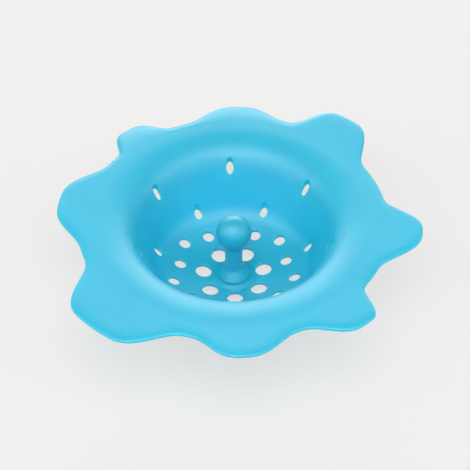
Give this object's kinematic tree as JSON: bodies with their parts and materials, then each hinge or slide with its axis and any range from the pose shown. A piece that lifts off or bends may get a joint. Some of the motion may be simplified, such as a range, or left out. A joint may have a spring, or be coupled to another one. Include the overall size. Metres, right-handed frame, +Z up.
{
  "type": "floor drain hair catcher",
  "caption": "Soft blue strainer bowl with a wavy flower rim, pierced by round drain holes, and a push-in pull knob standing on its floor.",
  "frame": {"origin": "centre of the flat tip of the knob's root, the lowest point of the part", "axes": "+Z up along the axis of the bowl and the knob, +Y away from the viewer of the picture, +X to the viewer's right"},
  "size_m": [0.1254, 0.1241, 0.0346],
  "materials": {
    "soft_rubber": "satin moulded soft rubber, slightly see-through",
    "knob_plastic": "satin moulded plastic"
  },
  "bodies": {
    "bowl": {"strainer_bowl": "soft_rubber"},
    "knob": {"pull_knob": "knob_plastic"}
  },
  "joints": [
    {"name": "knob_turn", "type": "hinge", "parent": "bowl", "child": "knob", "pos_m": [0, 0, 0.0043], "axis": [0, 0, 1], "continuous": true}
  ]
}
